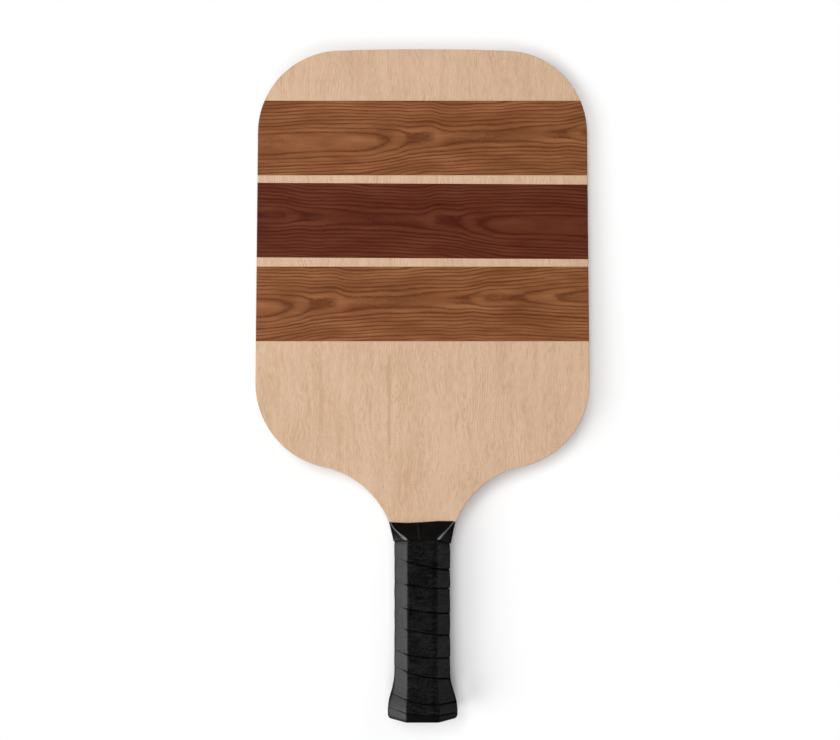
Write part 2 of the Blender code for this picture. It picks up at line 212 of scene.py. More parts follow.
# Growth-ring figure of the bands.  Along the grain, in millimetres from the middle of the
# figure: how many rings the saw cut lies from the heart of the log, and how far the middle
# of the figure has wandered across the strip.  A ring closes into an arrowhead wherever the
# count passes a whole number.
FIGURE = (
    (-110, 2.03, -4.6), (-92, 2.05, -3.8), (-76, 2.07, -2.9), (-62, 2.09, -2.5), (-50, 2.14, -2.4),
    (-40, 2.20, -2.4), (-32, 2.36, -2.1), (-26, 2.70, -1.8), (-22, 2.88, -1.5), (-19, 3.00, -1.2),
    (-15, 3.22, -0.9), (-11, 3.58, -0.6), (-8, 3.80, -0.3), (-2, 3.88, 0.3), (4, 3.95, 0.9),
    (7, 4.05, 0.9), (10, 4.30, 0.4), (15, 4.55, 0.2), (25, 4.70, 0.6), (35, 4.75, 1.0),
    (45, 4.75, 1.1), (55, 4.63, 1.8), (65, 4.42, 2.3), (72, 4.20, 2.3), (76, 4.00, 2.2),
    (80, 3.93, 2.2), (85, 3.84, 2.6), (90, 3.62, 3.0), (96, 3.18, 3.3), (99, 3.00, 3.5),
    (105, 2.95, 3.6), (112, 2.91, 3.8), (119, 2.85, 4.0), (124, 2.66, 4.1), (130, 2.45, 4.1),
    (135, 2.20, 4.2), (139, 2.01, 4.2), (143, 1.88, 4.2), (151, 1.70, 4.4), (165, 1.50, 4.7),
)
# The curves' ranges: millimetres along the grain, rings, and millimetres across it
FIGURE_FROM = -120.0
FIGURE_SPAN = 300.0
RINGS_LEAST = 1.0
RINGS_RANGE = 5.0
LEAN_LEAST = -6.0
LEAN_RANGE = 12.0

# Rings bend round the heart of the figure, which narrows along the grain
RING_SPACING = 2.05 * MM
WIDE_HEART = 6.0 * MM
NARROW_HEART = 4.2 * MM
HEART_WIDE_UNTIL = 55 * MM
HEART_NARROW_FROM = 95 * MM
HEART_POWER = 3.0

# How dark the wood is through one year, by share of the year; late wood ends the year
YEAR = (
    (0.0, 0.5), (0.12, 0.08), (0.3, 0.0), (0.5, 0.1),
    (0.68, 0.4), (0.82, 0.92), (0.91, 1.0), (1.0, 0.5),
)


def curve_along(graph, along, values, least, span):
    """A smooth curve through (distance in mm, value) pairs along the grain."""
    from_start = graph.total(-FIGURE_FROM / FIGURE_SPAN, (along, 1 / (MM * FIGURE_SPAN)))
    made = graph.node("ShaderNodeFloatCurve", {"Value": from_start})
    curve = made.mapping.curves[0]
    points = [((u - FIGURE_FROM) / FIGURE_SPAN, (value - least) / span) for u, value in values]
    curve.points[0].location = points[0]
    curve.points[1].location = points[-1]
    for point in points[1:-1]:
        curve.points.new(*point)
    made.mapping.update()
    return graph.total(least, (made.outputs[0], span))


def ring_count(graph, along, across, seed):
    """Rings from the heart of the log at each point, and how far off the strip's middle it is.

    A whole number of rings is late wood.
    """
    depths = [(u, rings) for u, rings, lean in FIGURE]
    leans = [(u, lean) for u, rings, lean in FIGURE]
    cut = curve_along(graph, along, depths, RINGS_LEAST, RINGS_RANGE)
    lean = curve_along(graph, along, leans, LEAN_LEAST, LEAN_RANGE)
    lifted = graph.total(across, (lean, -MM))
    heart = graph.ease(along, HEART_WIDE_UNTIL, HEART_NARROW_FROM, WIDE_HEART, NARROW_HEART)
    power = graph.math("POWER", graph.math("ABSOLUTE", lifted), HEART_POWER)
    far = graph.add(graph.math("POWER", heart, HEART_POWER), power)
    far = graph.math("POWER", far, 1 / HEART_POWER)
    climb = graph.math("DIVIDE", graph.math("SUBTRACT", far, heart), RING_SPACING)
    away = graph.math("MULTIPLY", climb, 0.5, clamp=True)
    rings = graph.add(cut, climb)

    years = graph.noise(rings, 0.0, 0.0, (1.3, 1, 1), detail=1.0, seed=seed)
    sway = graph.face_noise(along, across, (40, 8), seed + 1.7)
    ripple = graph.face_noise(along, across, (13, 2.6), seed + 3.1)
    fuzz = graph.face_noise(along, across, (2.2, 0.9), seed + 4.3, detail=2.0)
    blur = graph.total(0.13, (away, -0.03))
    uneven = (graph.scale(years, away), 0.55), (graph.scale(sway, away), 0.7), (ripple, 0.13)
    return graph.total(rings, *uneven, (fuzz, blur)), away


def banded_wood(name, light, middle, dark, centre_y, shift, mirrored, seed):
    """Flat-sawn wood with its grain across the face.

    shift moves the figure along the grain, and mirrored lays it the other way round.
    """
    graph = MaterialGraph(name)
    x, y, _ = graph.position()
    along = graph.total(shift, (x, -1.0 if mirrored else 1.0))
    across = graph.math("SUBTRACT", y, centre_y)
    rings, away = ring_count(graph, along, across, seed)
    strength = graph.face_noise(along, across, (30, 2.2), seed + 5.3)
    cloud = graph.face_noise(along, across, (34, 7), seed + 7.9, detail=2.0)
    fibre = graph.face_noise(along, across, (11, 0.55), seed + 9.2, detail=2.0)
    pore = graph.face_noise(along, across, (2.6, 0.28), seed + 11.4)
    pore = graph.math("SUBTRACT", pore, 0.22, clamp=True)

    late = graph.ramp(graph.math("FRACT", rings), YEAR)
    late = graph.scale(late, graph.total(0.97, (strength, 0.6), clamp=True))
    late = graph.scale(late, graph.total(0.9, (away, 0.1)))
    base = graph.between(graph.total(0.6, (cloud, 1.6), clamp=True), light, middle)
    shade = graph.total(late, (fibre, 0.42), (pore, 0.8), clamp=True)
    colour = graph.between(shade, base, dark)
    roughness = graph.total(0.44, (shade, 0.08))
    relief = graph.total(graph.scale(late, -0.25), (pore, -1.0))
    return graph.finish(colour, roughness, relief, 0.04 * MM, specular=0.2)


# ---------------------------------------------------------------- maple and plies

# Dark mineral streaks in the throat's maple, in millimetres: distance to the left of the
# middle, height of the upper and lower end above the butt, half width; then strength
STREAKS = (
    (20.2, 222, 154, 0.75, 1.10),
    (24.5, 160, 141, 1.70, 0.30),
    (62.0, 228, 164, 1.20, 0.45),
    (32.0, 196, 164, 0.60, 0.50),
)
# Millimetres over which a streak fades at its ends
STREAK_UPPER_FADE = 12
STREAK_LOWER_FADE = 18
# Wavelengths over 2 pi of the fine lines along and across the grain
LINE_LENGTH = 0.24 * MM
CROSS_LENGTH = 0.30 * MM
LOOP_SPACING = 2.8 * MM


def streak(graph, x, y, left, top, bottom, half_width, strength):
    """One thin streak along the grain, fading at both its ends."""
    away = graph.math("ABSOLUTE", graph.add(x, left * MM))
    across = graph.ease(away, 0.0, half_width * 2 * MM, strength, 0.0)
    top_y, bottom_y = BUTT_Y + top * MM, BUTT_Y + bottom * MM
    upper = graph.ease(y, BUTT_Y + (top - STREAK_UPPER_FADE) * MM, top_y, 1.0, 0.0)
    lower = graph.ease(y, bottom_y, BUTT_Y + (bottom + STREAK_LOWER_FADE) * MM, 0.0, 1.0)
    return graph.scale(across, graph.scale(upper, lower))


def in_places(graph, pattern, x, y, sizes, contrast, level, seed, detail=1.0):
    """A pattern that shows only in some places, whose sizes are in millimetres."""
    where = graph.face_noise(x, y, sizes, seed, detail)
    return graph.scale(pattern, graph.total(level, (where, contrast), clamp=True))


def maple_lines(graph, x, y, bent, curl, seed):
    """Hair-fine lines along the grain, and fainter ones across it."""
    lines = graph.math("SINE", graph.math("DIVIDE", bent, LINE_LENGTH))
    lines = in_places(graph, lines, x, y, (17, 21), 2.6, 0.15, seed + 6.6)
    curled = graph.total(y, (curl, 1.2 * MM))
    cross = graph.math("SINE", graph.math("DIVIDE", curled, CROSS_LENGTH))
    cross = in_places(graph, cross, x, y, (14, 12), 2.6, -0.35, seed + 12.5, detail=0.0)
    return lines, cross


def maple_cracks(graph, x, y, bent, seed):
    """Thin cracks, where a long noise passes through zero."""
    crack = graph.face_noise(bent, y, (7, 48), seed + 14.1)
    crack = graph.ramp(graph.math("ABSOLUTE", crack), ((0.0, 1.0), (0.035, 0.35), (0.12, 0.0)))
    return in_places(graph, crack, x, y, (20, 30), 3.0, -0.1, seed + 15.3)


def maple_loops(graph, x, y, bent, seed):
    """Growth rings cut so flat that they close into loops."""
    figure = graph.face_noise(x, y, (11, 24), seed + 19.4)
    loops = graph.total(graph.math("DIVIDE", bent, LOOP_SPACING), (figure, 6.0))
    year = ((0.0, 0.0), (0.6, 0.1), (0.85, 1.0), (1.0, 0.0))
    loops = graph.ramp(graph.math("FRACT", loops), year)
    return in_places(graph, loops, x, y, (15, 24), 3.0, 0.1, seed + 20.6)


def maple(name, light, dark, seed):
    """Pale close-grained wood with its grain along the handle, swirls, curl and fine cracks."""
    graph = MaterialGraph(name)
    x, y, _ = graph.position()
    swirl = graph.face_noise(x, y, (24, 34), seed)
    curl = graph.face_noise(x, y, (6, 9), seed + 2.3)
    bent = graph.total(x, (swirl, 6.0 * MM), (curl, 1.0 * MM))
    fine = graph.face_noise(bent, y, (0.75, 6), seed + 4.1, detail=2.0)
    coarse = graph.face_noise(bent, y, (3.2, 40), seed + 5.7, detail=2.0)
    cloud = graph.face_noise(x, y, (22, 55), seed + 8.8, detail=2.0)
    fleck = graph.face_noise(x, y, (0.5, 2.0), seed + 10.2)
    wander = graph.face_noise(x, y, (9, 14), seed + 17.9, detail=2.0)
    lines, cross = maple_lines(graph, x, y, bent, curl, seed)
    crack = maple_cracks(graph, x, y, bent, seed)
    loops = maple_loops(graph, x, y, bent, seed)

    shade = graph.total(0.38, (fine, 0.95), (coarse, 0.6), (cloud, 0.45))
    shade = graph.total(shade, (lines, 0.28), (cross, 0.08), (crack, 0.45), (loops, 0.4))
    wandered = graph.total(x, (wander, 1.6 * MM))
    for measures in STREAKS:
        shade = graph.add(shade, streak(graph, wandered, y, *measures))
    shade = graph.total(shade, (fleck, 0.5), clamp=True)
    colour = graph.between(shade, light, dark)
    roughness = graph.total(0.44, (shade, 0.08))
    return graph.finish(colour, roughness, graph.scale(shade, -1.0), 0.03 * MM, specular=0.3)


def ply_edge(name, light, dark, along_x, seed):
    """Core ply: long grain on the edges it runs along, end grain on the others."""
    graph = MaterialGraph(name)
    x, y, z = graph.position()
    if along_x:
        fibre_sizes = (16 * MM, 0.45 * MM, 0.35 * MM)
        cloud_sizes = (60 * MM, 5 * MM, 1.2 * MM)
    else:
        fibre_sizes = (0.45 * MM, 16 * MM, 0.35 * MM)
        cloud_sizes = (5 * MM, 60 * MM, 1.2 * MM)
    fibre = graph.noise(x, y, z, fibre_sizes, detail=3.0, seed=seed)
    cloud = graph.noise(x, y, z, cloud_sizes, detail=2.0, seed=seed + 1.3)
    shade = graph.total(0.5, (fibre, 0.5), (cloud, 0.3), clamp=True)
    colour = graph.between(shade, light, dark)
    roughness = graph.total(0.45, (shade, 0.15))
    return graph.finish(colour, roughness, graph.scale(shade, -1.0), 0.05 * MM)


# ---------------------------------------------------------------- other materials

# Linear colours, the pairs from dark to bright; the cap's scuffs are CAP_SCUFF times as bright
CAP_BLACK = (0.0010, 0.0010, 0.0010)
CAP_SCUFF = 1.8
STAPLE_STEEL = (0.42, 0.42, 0.44), (0.62, 0.62, 0.64)
LEATHER_BLACK = (0.0, 0.0, 0.0), (0.0125, 0.0125, 0.0125)
RUBBER_BLACK = (0.0, 0.0, 0.0), (0.0006, 0.0006, 0.0006)
VINYL_BLACK = (0.008, 0.008, 0.008), (0.014, 0.014, 0.014)
FLOOR_WHITE = (0.84, 0.84, 0.84), (0.86, 0.86, 0.86)

# Painted shade: a dark stripe along the front facet's right edge, where the rounded corner turns
# dark
SHADE_STRIPE_X = 7.0 * MM
SHADE_STRIPE_HALF_WIDTH = 1.6 * MM
SHADE_STRIPE_STRENGTH = 0.22

# The collar's seam: its place in front, its slant and its look; its lighter tone is a painted
# highlight on its raised ridge
SEAM_X = -2.4 * MM
SEAM_Y = BUTT_Y + 112.5 * MM
SEAM_SLANT = -0.13
SEAM_HALF_WIDTH = 0.8 * MM
SEAM_HIGHLIGHT_TONE = (0.0095, 0.0095, 0.0095)


def moulded_plastic(name, colour):
    """Dull black plastic with a fine moulded grain and faint scuffs."""
    graph = MaterialGraph(name)
    x, y, z = graph.position()
    grain = graph.noise(x, y, z, (0.5 * MM, 0.5 * MM, 0.5 * MM), detail=2.0, seed=1.0)
    scuff = graph.noise(x, y, z, (9 * MM, 9 * MM, 3 * MM), detail=3.0, seed=2.0)
    scuffed = tuple(level * CAP_SCUFF for level in colour)
    tone = graph.between(graph.total(0.4, (scuff, 0.5), clamp=True), colour, scuffed)
    roughness = graph.total(0.44, (scuff, 0.06))
    return graph.finish(tone, roughness, grain, 0.04 * MM, specular=0.12)


def staple_steel(name, dark, bright):
    """Drawn wire, brushed along its length."""
    graph = MaterialGraph(name)
    x, y, z = graph.position()
    brushed = graph.noise(x, y, z, (3 * MM, 0.1 * MM, 0.1 * MM), detail=2.0, seed=3.0)
    tone = graph.between(graph.total(0.5, (brushed, 0.5)), dark, bright)
    graph.surface.inputs["Metallic"].default_value = 1.0
    roughness = graph.total(0.34, (brushed, 0.08))
    return graph.finish(tone, roughness, brushed, 0.02 * MM)


def cushion_leather(name, dark, bright):
    """Black synthetic leather: pebbled skin, faint creases, a dull sheen on worn places, and a
    painted shade stripe along the front facet's right edge.
    """
    graph = MaterialGraph(name)
    x, y, z = graph.position()
    pebbles = (1.1 * MM, 0.9 * MM, 1.1 * MM)
    pebble = graph.noise(x, y, z, pebbles, detail=2.0, roughness=0.6, seed=4.0)
    crease = graph.noise(x, y, z, (6 * MM, 1.3 * MM, 6 * MM), detail=2.0, seed=5.0)
    wear = graph.noise(x, y, z, (9 * MM, 6 * MM, 9 * MM), detail=2.0, seed=6.0)
    share = graph.total(0.3, (pebble, 1.3), (crease, 0.8), (wear, 0.5))
    # Painted shade: the tone is darkened in a stripe along the front facet's right edge, on the
    # front only
    from_shade_stripe = graph.math("ABSOLUTE", graph.math("SUBTRACT", x, SHADE_STRIPE_X))
    shade_stripe = graph.ease(from_shade_stripe, 0.0, SHADE_STRIPE_HALF_WIDTH, SHADE_STRIPE_STRENGTH, 0.0)
    shade_stripe = graph.scale(shade_stripe, graph.math("GREATER_THAN", z, AXIS_Z))
    share = graph.math("SUBTRACT", share, shade_stripe, clamp=True)
    tone = graph.between(share, dark, bright)
    roughness = graph.total(0.46, (wear, 0.05))
    relief = graph.total(pebble, (crease, 0.5))
    return graph.finish(tone, roughness, relief, 0.07 * MM, specular=0.12)


def stretched_rubber(name, dark, bright):
    """Matt black rubber, pulled lengthwise, with a raised moulding seam down its front, drawn
    lighter as a painted highlight.
    """
    graph = MaterialGraph(name)
    x, y, z = graph.position()
    pull = graph.noise(x, y, z, (1.2 * MM, 9 * MM, 1.2 * MM), detail=2.0, seed=7.0)
    dust = graph.noise(x, y, z, (4 * MM, 4 * MM, 4 * MM), detail=3.0, seed=8.0)
    tone = graph.between(graph.total(0.35, (dust, 0.5), clamp=True), dark, bright)
    from_seam = graph.total(graph.add(x, SEAM_SLANT * SEAM_Y - SEAM_X), (y, -SEAM_SLANT))
    seam = graph.ease(graph.math("ABSOLUTE", from_seam), 0.0, SEAM_HALF_WIDTH, 1.0, 0.0)
    seam = graph.scale(seam, graph.math("GREATER_THAN", z, AXIS_Z))
    # Painted highlight: the seam's lighter tone stands in for the light its raised ridge catches
    tone = graph.between(graph.scale(seam, 0.9), tone, SEAM_HIGHLIGHT_TONE)
    roughness = graph.total(0.33, (dust, 0.06))
    relief = graph.total(seam, (pull, 0.5))
    return graph.finish(tone, roughness, relief, 0.06 * MM, specular=0.075)


def vinyl_tape(name, dark, bright):
    graph = MaterialGraph(name)
    x, y, z = graph.position()
    grain = graph.noise(x, y, z, (0.6 * MM, 3 * MM, 0.6 * MM), detail=2.0, seed=9.0)
    tone = graph.between(graph.total(0.5, (grain, 0.5)), dark, bright)
    return graph.finish(tone, graph.total(0.5, (grain, 0.05)), grain, 0.02 * MM)


def white_floor(name, dark, bright):
    graph = MaterialGraph(name)
    x, y, z = graph.position()
    mottle = graph.noise(x, y, z, (0.4, 0.4, 0.4), detail=2.0, seed=10.0)
    tone = graph.between(graph.total(0.5, (mottle, 0.5)), dark, bright)
    return graph.finish(tone, graph.total(0.9, (mottle, 0.02)), specular=0.0)


# ---------------------------------------------------------------- mesh tools

SHARP_ANGLE = math.radians(50)
BLADE_SHARP_ANGLE = math.radians(40)
WELD_DISTANCE = 0.001 * MM
FLAT_ANGLE = 0.0005


def add_piece(name, mesh, material, replaced):
    """A finished piece on the paddle's one body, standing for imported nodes."""
    mesh.name = name
    piece = bpy.data.objects.new(name, mesh)
    bpy.context.scene.collection.objects.link(piece)
    mesh.materials.clear()
    mesh.materials.append(material)
    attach(piece, "root")
    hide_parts(*replaced)
    return piece


def mesh_from_rows(name, rows, ends):
    """Skin closed rows of points, with flat ends or with the last row joined to the first."""
    shape = bmesh.new()
    loops = [[shape.verts.new(point) for point in row] for row in rows]
    count = len(rows[0])
    pairs = list(zip(loops, loops[1:]))
    if not ends:
        pairs.append((loops[-1], loops[0]))
    for lower, upper in pairs:
        for index in range(count):
            following = (index + 1) % count
            shape.faces.new((lower[index], lower[following], upper[following], upper[index]))
    if ends:
        shape.faces.new(loops[0])
        shape.faces.new(loops[-1])
    bmesh.ops.recalc_face_normals(shape, faces=shape.faces)
    mesh = bpy.data.meshes.new(name)
    shape.to_mesh(mesh)
    shape.free()
    mesh.shade_smooth()
    mesh.set_sharp_from_angle(angle=SHARP_ANGLE)
    return mesh


def smooth_copy(node):
    """The node's own solid as one welded mesh, smooth along its curved edges."""
    mesh = NODES[node].data.copy()
    shape = bmesh.new()
    shape.from_mesh(mesh)
    bmesh.ops.remove_doubles(shape, verts=shape.verts, dist=WELD_DISTANCE)
    bmesh.ops.dissolve_limit(shape, angle_limit=FLAT_ANGLE, verts=shape.verts, edges=shape.edges)
    shape.to_mesh(mesh)
    shape.free()
    mesh.shade_smooth()
    mesh.set_sharp_from_angle(angle=BLADE_SHARP_ANGLE)
    return mesh


# ---------------------------------------------------------------- blade

# Linear colours of the woods, each from its palest to its darkest
MAPLE = (0.612, 0.423, 0.293), (0.490, 0.318, 0.204)
WALNUT = (0.284, 0.114, 0.0470), (0.184, 0.064, 0.0232), (0.102, 0.0295, 0.0094)
MAHOGANY = (0.124, 0.0335, 0.0155), (0.088, 0.0195, 0.0072), (0.0510, 0.0076, 0.0032)
CROSS_PLY = (0.43, 0.26, 0.15), (0.30, 0.16, 0.085)
LONG_PLY = (0.46, 0.29, 0.17), (0.36, 0.21, 0.12)
SCALE_WOOD = (0.42, 0.30, 0.19), (0.30, 0.19, 0.11)

# The bands are cut from one figure: how far each is shifted along it, and whether it is
# turned round on the front face
BANDS = (
    ("upper_walnut_band", "walnut", WALNUT, 0.0, False),
    ("mahogany_band", "mahogany", MAHOGANY, 14 * MM, True),
    ("lower_walnut_band", "walnut", WALNUT, 59 * MM, False),
)
PALE_STRIPS = ("tip_veneer", "upper_pinstripe", "lower_pinstripe", "throat_veneer")
PLIES = ("back_outer_ply", "back_inner_ply", "centre_ply", "front_inner_ply", "front_outer_ply")
# Seeds that give the back face, the plies and the scales grain of their own
BACK_SEED = 20.0
PLY_SEED = 40.0
SCALE_SEED = 60.0


def middle_y(node):
    low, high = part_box(node)
    return (low.y + high.y) / 2


def finish_layer(node, material):
    add_piece(f"{node}_finished", smooth_copy(node), material, [node])


def make_face(side, seed):
    """One face's veneers, each cut from its own piece of wood."""
    pale = maple(f"{side}_maple_wood", *MAPLE, seed)
    for strip in PALE_STRIPS:
        finish_layer(f"{side}_{strip}", pale)
    for strip, slot, tones, shift, turned in BANDS:
        node = f"{side}_{strip}"
        mirrored = turned != (side == "back")
        wood = banded_wood(f"{node}_wood", *tones, middle_y(node), shift, mirrored, seed)
        finish_layer(node, wood)


def make_blade():
    """Veneers and plies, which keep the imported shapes."""
    make_face("front", 0.0)
    make_face("back", BACK_SEED)
    for index, node in enumerate(PLIES):
        crossed = index % 2 == 0
        tones = CROSS_PLY if crossed else LONG_PLY
        wood = ply_edge(f"{node}_wood", *tones, crossed, PLY_SEED + index)
        finish_layer(node, wood)


# ---------------------------------------------------------------- curves

def rise(value, start, span):
    """0 up to the start and 1 from a span later; a span below zero counts the other way."""
    return min(max((value - start) / span, 0), 1)


def smooth_curve(points, at):
    """A smooth curve through (position, value) points."""
    index = 0
    while index < len(points) - 2 and points[index + 1][0] <= at:
        index += 1
    (start, here), (end, there) = points[index], points[index + 1]
    before = points[max(index - 1, 0)]
    beyond = points[min(index + 2, len(points) - 1)]
    slope_in = (there - before[1]) / (end - before[0])
    slope_out = (beyond[1] - here) / (beyond[0] - start)
    span = end - start
    share = rise(at, start, span)
    square, cube = share * share, share ** 3
    return (
        (2 * cube - 3 * square + 1) * here + (cube - 2 * square + share) * slope_in * span
        + (3 * square - 2 * cube) * there + (cube - square) * slope_out * span
    )


# ---------------------------------------------------------------- handle section

FILLET_STEPS = 6
FACET_STEPS = 4
# How much the cut at an octagon's corner shrinks for each unit of depth below its surface
CORNER_PER_DEPTH = 2 - math.sqrt(2)


def swell(height):
    """How much larger the handle's section is, at a height above the butt end."""
    reach = rise(height, FLARE_START, FLARE_END - FLARE_START) ** FLARE_POWER
    factor = 1 + FLARE_SWELL * reach * reach * (3 - 2 * reach)
    if height < BUTT_END + BUTT_ROUNDING:
        dip = 1 - (height - BUTT_END) / BUTT_ROUNDING
        factor -= BUTT_ROUNDING_SWELL * (1 - math.sqrt(max(1 - dip * dip, 0)))
    return factor


def octagon(half_width, half_thickness, corner):
    """The eight corners, counter-clockwise from the right side's upper one."""
    flat_x = half_width - corner
    flat_z = half_thickness - corner
    return [
        Vector((half_width, flat_z)), Vector((flat_x, half_thickness)),
        Vector((-flat_x, half_thickness)), Vector((-half_width, flat_z)),
        Vector((-half_width, -flat_z)), Vector((-flat_x, -half_thickness)),
        Vector((flat_x, -half_thickness)), Vector((half_width, -flat_z)),
    ]


def fillet(before, corner, after, radius):
    """Points along the arc that rounds a corner between its two neighbours."""
    back = (before - corner).normalized()
    ahead = (after - corner).normalized()
    half_angle = back.angle(ahead) / 2
    reach = radius / math.tan(half_angle)
    centre = corner + (back + ahead).normalized() * (radius / math.sin(half_angle))
    start = corner + back * reach
    end = corner + ahead * reach
    from_angle = math.atan2(*(start - centre).yx)
    turn = math.atan2(*(end - centre).yx) - from_angle
    turn = (turn + math.pi) % (2 * math.pi) - math.pi
    points = []
    for step in range(FILLET_STEPS + 1):
        angle = from_angle + turn * step / FILLET_STEPS
        points.append(centre + Vector((math.cos(angle), math.sin(angle))) * radius)
    return points


def rounded(corners, radius):
    """A closed outline with its corners rounded and its sides divided evenly.

    It starts in the middle of the second side, which is the front facet of an octagon.
    """
    count = len(corners)
    arcs = []
    for index in range(count):
        after = corners[(index + 1) % count]
        arcs.append(fillet(corners[index - 1], corners[index], after, radius))
    outline = []
    for index in range(count):
        outline += arcs[index]
        start, end = arcs[index][-1], arcs[(index + 1) % count][0]
        outline += [start.lerp(end, step / FACET_STEPS) for step in range(1, FACET_STEPS)]
    side = FILLET_STEPS + FACET_STEPS
    first = side + FILLET_STEPS + FACET_STEPS // 2
    return outline[first:] + outline[:first]


def handle_outline(height, depth, radius):
    """The handle's section at one height, some depth below the grip's surface."""
    factor = swell(height)
    half_width = HANDLE_HALF_WIDTH * factor
    half_thickness = HANDLE_HALF_THICKNESS * factor
    facet = (HANDLE_HALF_WIDTH - HANDLE_CORNER) * (1 + (factor - 1) * FACET_SHARE)
    corner = half_width - facet - depth * CORNER_PER_DEPTH
    return rounded(octagon(half_width - depth, half_thickness - depth, corner), radius)


def straight_outline(depth, radius):
    """The handle's section away from its flare, some depth below the grip's surface."""
    corner = HANDLE_CORNER - depth * CORNER_PER_DEPTH
    corners = octagon(HANDLE_HALF_WIDTH - depth, HANDLE_HALF_THICKNESS - depth, corner)
    return rounded(corners, radius)


def place(point, height):
    """A section's point as a place on the handle, which sits a hair to the left of the blade."""
    lean = BUTT_LEAN * max(swell(height) - 1, 0) / FLARE_SWELL
    return Vector((HANDLE_X + lean + point.x, BUTT_Y + height, AXIS_Z + point.y))


# Heights above the butt of the collar's edges, in millimetres, from the left to the right
COLLAR_LOWER_EDGE = (
    (-17.5, 106.0), (-14.7, 106.4), (-11.1, 106.9), (-9.7, 107.4), (-8.4, 108.0), (-5.0, 108.0),
    (-2.0, 107.7), (2.0, 107.8), (8.4, 108.0), (10.5, 107.4), (12.3, 106.5), (14.1, 105.9),
    (15.3, 105.3), (17.5, 104.7),
)
COLLAR_UPPER_EDGE = (
    (-20.0, 117.6), (-14.5, 117.5), (-9.7, 117.2), (-4.8, 117.05), (-2.4, 117.3), (0.0, 117.6),
    (4.9, 118.0), (9.7, 118.3), (17.0, 118.4), (20.0, 118.0),
)


def collar_lower(x):
    return smooth_curve(COLLAR_LOWER_EDGE, x / MM) * MM


def collar_upper(x):
    return smooth_curve(COLLAR_UPPER_EDGE, x / MM) * MM


# ---------------------------------------------------------------- grip

# The strip was wound by hand, so its turns aren't even.  Each row is one turn: the height in
# millimetres of the strip's lower edge at the middle of the front facet, at that facet's
# left corner, at the left edge of the handle, and then, round the back, at the right edge
# and the front facet's right corner.
STRIP_PATH = (
    (-6.0, -4.6, -3.4, 2.6, 3.3),
    (3.6, 4.7, 5.8, 9.3, 9.6),
    (10.2, 12.6, 14.2, 23.2, 25.0),
    (26.2, 28.7, 30.4, 35.8, 37.1),
    (37.8, 39.1, 40.8, 49.5, 51.1),
    (52.5, 54.0, 55.6, 62.6, 64.1),
    (65.0, 66.5, 68.0, 77.7, 79.0),
    (79.6, 81.0, 82.4, 89.1, 90.7),
    (92.6, 95.0, 97.2, 106.0, 108.0),
    (109.5, 111.0, 113.0, 120.0, 122.0),
    (123.0, 124.5, 126.5, 134.0, 136.0),
)
PATH_SHARES = (0.0, 0.083, 0.185, 0.815, 0.917)
PATH = [
    (turn + share, height * MM)
    for turn, heights in enumerate(STRIP_PATH)
    for share, height in zip(PATH_SHARES, heights)
]
# Height of the cap's rim in millimetres, by share of the way round
RIM_TOP = (
    (0.0, 3.45), (0.083, 4.5), (0.185, 5.6), (0.25, 5.4), (0.38, 3.2), (0.5, 2.8),
    (0.7, 2.6), (0.815, 2.5), (0.917, 3.1), (1.0, 3.45),
)
RIM_GAP = 0.15 * MM
STRIP_GAP = 0.12 * MM
EDGE_ROUND = 0.8 * MM
EDGE_DROP = 0.85 * MM
OVERLAP_STEP = 0.12 * MM
OUTER_SAMPLES = 15
INNER_SAMPLES = 3
MARGIN_SAMPLING = 0.65
GRIP_TOP = 108.7 * MM
GRIP_CORNER_ROUND = 2.6 * MM
INNER_CORNER_ROUND = 0.6 * MM
SHORTEST_WIDTH = 0.8 * MM

# Along the left corner the strip is pulled nearly flat: how deep its margins go there, low
# and high on the handle, and the shares of the way round between which it is so
PRESSED_DROP = 0.2 * MM
PRESSED_DROP_ABOVE = 0.08 * MM
PRESSED_FROM = 40 * MM
PRESSED_OVER = 10 * MM
PRESSED_START = 0.06
PRESSED_START_SPAN = 0.05
PRESSED_END = 0.30
PRESSED_END_SPAN = 0.08

# Uneven swelling of the cushion: its depth, and how many features to a metre
BROAD_DENT = 0.16 * MM
BROAD_DENT_RATE = 110
FINE_DENT = 0.05 * MM
FINE_DENT_RATE = 420

# The collar's lower edge squeezes the cushion
PINCH_DEPTH = 0.5 * MM
PINCH_WIDTH = 0.8 * MM


def strip_edge(at):
    """Height of the strip's lower edge after some turns."""
    return smooth_curve(PATH, at)


def rim_top(share):
    """Height of the cap's rim, which meets the strip's first turn in front and at the left."""
    return smooth_curve(RIM_TOP, share) * MM


def around_shares():
    """Share of the way round, from the front facet's middle, of each outline point."""
    outline = handle_outline(FLARE_START, 0, GRIP_CORNER_ROUND)
    steps = [(outline[(k + 1) % len(outline)] - outline[k]).length for k in range(len(outline))]
    total = sum(steps)
    shares, gone = [], 0.0
    for step in steps:
        shares.append(gone / total)
        gone += step
    return shares


def edge_drop(share, height):
    """How deep the margins go at a place round the handle and up it."""
    after_start = rise(share, PRESSED_START, PRESSED_START_SPAN)
    before_end = rise(share, PRESSED_END, -PRESSED_END_SPAN)
    pressed = after_start * before_end
    above = rise(height, PRESSED_FROM, PRESSED_OVER)
    flat = PRESSED_DROP + (PRESSED_DROP_ABOVE - PRESSED_DROP) * above
    return EDGE_DROP + (flat - EDGE_DROP) * pressed


def edge_depth(from_edge, drop):
    """How far the strip's rounded margin drops below its crown."""
    if from_edge >= EDGE_ROUND:
        return 0.0
    share = 1 - from_edge / EDGE_ROUND
    return drop * (1 - math.sqrt(max(1 - share * share, 0)))


def strip_heights(lower, upper):
    """Heights across the strip, closer together along its margins."""
    heights = []
    for index in range(OUTER_SAMPLES):
        share = index / (OUTER_SAMPLES - 1)
        eased = 0.5 - 0.5 * math.cos(math.pi * share)
        share = (1 - MARGIN_SAMPLING) * share + MARGIN_SAMPLING * eased
        heights.append(lower + (upper - lower) * share)
    return heights


